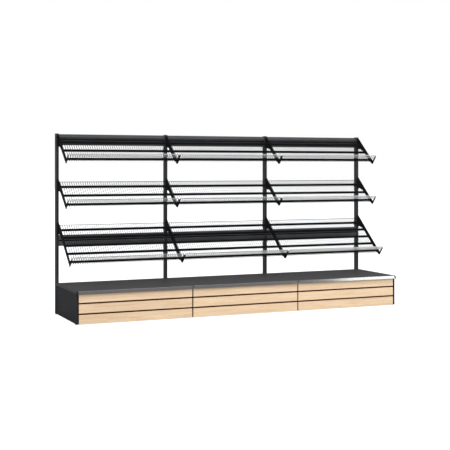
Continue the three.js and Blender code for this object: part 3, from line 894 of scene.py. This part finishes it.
def levelling_foot():
    """The profile of a foot, with the edges of its glide rounded, turned round its axis."""
    bm = bmesh.new()
    verts = line_through(bm, [(radius, 0, height) for radius, height in FOOT_PROFILE])
    round_corners(bm, verts[1:4], GLIDE_EDGE, GLIDE_EDGE_STEPS)
    bmesh.ops.spin(
        bm,
        geom=bm.verts[:] + bm.edges[:],
        cent=(0, 0, 0),
        axis=(0, 0, 1),
        angle=2 * math.pi,
        steps=FOOT_SIDES,
        use_merge=True,
        use_duplicate=False,
    )
    bmesh.ops.remove_doubles(bm, verts=bm.verts, dist=MERGE_DISTANCE)
    return turned_out(bm)


for side, y in FOOT_PLACES.items():
    for number, x in POSTS.items():
        node = f"levelling_foot_{side}_{number}"
        piece = finished(
            f"{side}_glide_{number}", levelling_foot(), foot_plastic, place=(x, y, 0), body=node
        )
        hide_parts(node)


# Timber fronts: three planks on battens, which take the dark kick paint as painted shade in the gaps
# between the planks

PLANK_FRONT = -0.8122
PLANK_BACK = -0.7942
PLANK_GAPS = (PLANK_PITCH, 2 * PLANK_PITCH)
PLANK_GAP = 0.017
PLANK_JOINT = 0.015
PLANK_END_GAP = 0.006
PLANK_EDGE = 0.0015
TIMBER_TOP = 0.318
BATTENS = 3
BATTEN_WIDTH = 0.045
BATTEN_BACK = -0.7792
BATTEN_EDGE = 0.0010
BESIDE_LEG = LEG_THICKNESS / 2 + SEAT


def planks(bay):
    """The planks of a bay. At the ends of the row they stop short of the end legs."""
    left = POSTS[bay] + (BESIDE_LEG + PLANK_END_GAP if bay == 1 else PLANK_JOINT / 2)
    right = POSTS[bay + 1] - (BESIDE_LEG + PLANK_END_GAP if bay == BAYS else PLANK_JOINT / 2)
    bottoms = [FLOOR_GAP] + [middle + PLANK_GAP / 2 for middle in PLANK_GAPS]
    tops = [middle - PLANK_GAP / 2 for middle in PLANK_GAPS] + [TIMBER_TOP]
    bm = bmesh.new()
    for bottom, top in zip(bottoms, tops):
        block(bm, (left, PLANK_FRONT, bottom), (right, PLANK_BACK, top))
    return bm


def battens(bay):
    """The upright battens behind the planks of a bay."""
    first = POSTS[bay] + BESIDE_LEG
    spread = POSTS[bay + 1] - BESIDE_LEG - BATTEN_WIDTH - first
    bm = bmesh.new()
    for i in range(BATTENS):
        start = first + spread * i / (BATTENS - 1)
        block(bm, (start, PLANK_BACK, FLOOR_GAP), (start + BATTEN_WIDTH, BATTEN_BACK, TIMBER_TOP))
    return bm


# The battens take the dark kick paint: painted shade, so that the gaps between the planks read dark all
# along.
for bay in BAY_NUMBERS:
    for kind, bm, material, edge in (
        ("planks", planks(bay), oak[bay], PLANK_EDGE),
        ("battens", battens(bay), kick_coat, BATTEN_EDGE),
    ):
        piece = finished(f"{kind}_bay_{bay}", bm, material)
        soften(piece, edge, segments=3)
        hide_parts(f"wood_front_{bay}")


# Sheets that keep the shape of their nodes get their finish and softened edges

DECK_EDGE = 0.0010
HEADER_EDGE = 0.0009
PANEL_EDGE = 0.0006

for bay in BAY_NUMBERS:
    for node_name, material, edge in (
        (f"deck_{bay}", deck_coat, DECK_EDGE),
        (f"top_header_{bay}", header_coat, HEADER_EDGE),
        (f"mid_header_{bay}", mid_header_lightened_coat, HEADER_EDGE),
        (f"kick_panel_{bay}", kick_coat, PANEL_EDGE),
    ):
        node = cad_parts[node_name]
        node.data.materials.clear()
        node.data.materials.append(material)
        soften(node, edge, weld=True)


# Painted shadow: a dark strip along the middle of each header, laid where a line of shade runs across its
# face

HEADER_FACE = 0.008
SHADOW_STRIP_HEIGHT = 0.014
SHADOW_STRIP_PROUD = 0.0012
SHADOW_STRIP_SUNK = 0.0005
SHADOW_STRIP_EDGE = 0.0005

for bay in BAY_NUMBERS:
    left, right = POSTS[bay] + POST_WIDTH / 2 + SEAT, POSTS[bay + 1] - POST_WIDTH / 2 - SEAT
    for node_name in (f"top_header_{bay}", f"mid_header_{bay}"):
        low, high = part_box(node_name)
        bottom = (low.z + high.z - SHADOW_STRIP_HEIGHT) / 2
        front_corner = (left, HEADER_FACE - SHADOW_STRIP_PROUD, bottom)
        back_corner = (right, HEADER_FACE + SHADOW_STRIP_SUNK, bottom + SHADOW_STRIP_HEIGHT)
        bm = bmesh.new()
        block(bm, front_corner, back_corner)
        # The dark strip is painted shadow laid on the face of the header.
        strip = finished(f"{node_name}_painted_shadow_strip", bm, black_coat)
        soften(strip, SHADOW_STRIP_EDGE)


# Stage, light and camera

FLOOR_SIZE = 60
FLOOR_GREY = 0.42
FLOOR_GLOW = 0.88
MIRRORED_FLOOR_GLOW = 0.05
MIRRORED_SKY = 0.25
CAMERA_PLACE = (-4.5959, -10.36915, 1.5993)
CAMERA_TURN = math.radians(-23.58)
FOCAL_LENGTH = 81.05
SENSOR_WIDTH = 36
LENS_SHIFT = -0.1298
VIEW_END = 100


def by_ray(tree, shares):
    """A number for each kind of ray, taken from the Light Path outputs that shares names.

    A ray of two kinds gets the higher number, and one of no kind that is named gets none.
    """
    rays = tree.nodes.new("ShaderNodeLightPath")
    total, *others = [worked_out(tree, "MULTIPLY", rays.outputs[kind], shares[kind]) for kind in shares]
    for amount in others:
        total = worked_out(tree, "MAXIMUM", total, amount)
    return total


def background(tree, colour, strength):
    """An even surround of one colour."""
    surround = tree.nodes.new("ShaderNodeBackground")
    surround.inputs["Color"].default_value = (*colour, 1)
    surround.inputs["Strength"].default_value = strength
    return surround.outputs["Background"]


def mixed(tree, share, first, second):
    """The first shader, with a share of the second."""
    mix = tree.nodes.new("ShaderNodeMixShader")
    tree.links.new(share, mix.inputs["Fac"])
    tree.links.new(first, mix.inputs[1])
    tree.links.new(second, mix.inputs[2])
    return mix.outputs["Shader"]


def studio():
    """Soft light from all around, dim in reflections, and plain white where the camera sees it."""
    world = bpy.data.worlds.new("studio")
    world.use_nodes = True
    tree = world.node_tree
    tree.nodes.clear()
    sky = background(tree, colour=(0.97, 0.98, 1.0), strength=0.96)
    seen = background(tree, colour=(1, 1, 1), strength=1)
    mirrored = background(tree, colour=(1, 1, 1), strength=MIRRORED_SKY)
    lit = mixed(tree, by_ray(tree, {"Is Glossy Ray": 1}), sky, mirrored)
    both = mixed(tree, by_ray(tree, {"Is Camera Ray": 1, "Is Transmission Ray": 1}), lit, seen)
    tree.links.new(both, tree.nodes.new("ShaderNodeOutputWorld").inputs["Surface"])
    return world


def floor_paint():
    """Matt grey paint that takes the shadow, with a glow that lifts the rest of the floor to white."""
    material, tree, shader = new_finish("floor")
    shader.inputs["Base Color"].default_value = (FLOOR_GREY, FLOOR_GREY, FLOOR_GREY, 1)
    shader.inputs["Roughness"].default_value = 0.9
    shader.inputs["Specular IOR Level"].default_value = 0
    glow = tree.nodes.new("ShaderNodeEmission")
    shares = {
        "Is Camera Ray": FLOOR_GLOW,
        "Is Transmission Ray": FLOOR_GLOW,
        "Is Glossy Ray": MIRRORED_FLOOR_GLOW,
    }
    tree.links.new(by_ray(tree, shares), glow.inputs["Strength"])
    summed = tree.nodes.new("ShaderNodeAddShader")
    tree.links.new(shader.outputs["BSDF"], summed.inputs[0])
    tree.links.new(glow.outputs["Emission"], summed.inputs[1])
    tree.links.new(summed.outputs["Shader"], tree.nodes["Material Output"].inputs["Surface"])
    return material


def soft_box(name, place, target, width, height, power):
    """A rectangular lamp that faces its target. Its power is in watts."""
    lamp = bpy.data.lights.new(name, "AREA")
    lamp.shape = "RECTANGLE"
    lamp.size = width
    lamp.size_y = height
    lamp.energy = power
    stand = bpy.data.objects.new(name, lamp)
    stand.location = place
    stand.rotation_euler = (Vector(target) - Vector(place)).to_track_quat("-Z", "Y").to_euler()
    scene.collection.objects.link(stand)


scene.world = studio()

bm = bmesh.new()
bmesh.ops.create_grid(bm, x_segments=1, y_segments=1, size=FLOOR_SIZE)
mesh = bpy.data.meshes.new("floor")
bm.to_mesh(mesh)
bm.free()
mesh.materials.append(floor_paint())
floor = bpy.data.objects.new("floor", mesh)
scene.collection.objects.link(floor)
floor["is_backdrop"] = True

soft_box("key_box", place=(9.0, -8.4, 6.1), target=(0.6, -0.4, 0.6), width=3.9, height=4.2, power=365)
soft_box("overhead_box", place=(0.4, -3.6, 5.2), target=(-0.6, 0, 1.2), width=6.0, height=2.0, power=165)

lens = bpy.data.cameras.new("camera")
lens.lens = FOCAL_LENGTH
lens.sensor_width = SENSOR_WIDTH
lens.shift_y = LENS_SHIFT
lens.clip_end = VIEW_END
camera = bpy.data.objects.new("camera", lens)
camera.location = CAMERA_PLACE
camera.rotation_euler = (math.pi / 2, 0, CAMERA_TURN)
scene.collection.objects.link(camera)
scene.camera = camera
scene.view_settings.view_transform = "Standard"

low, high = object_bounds()
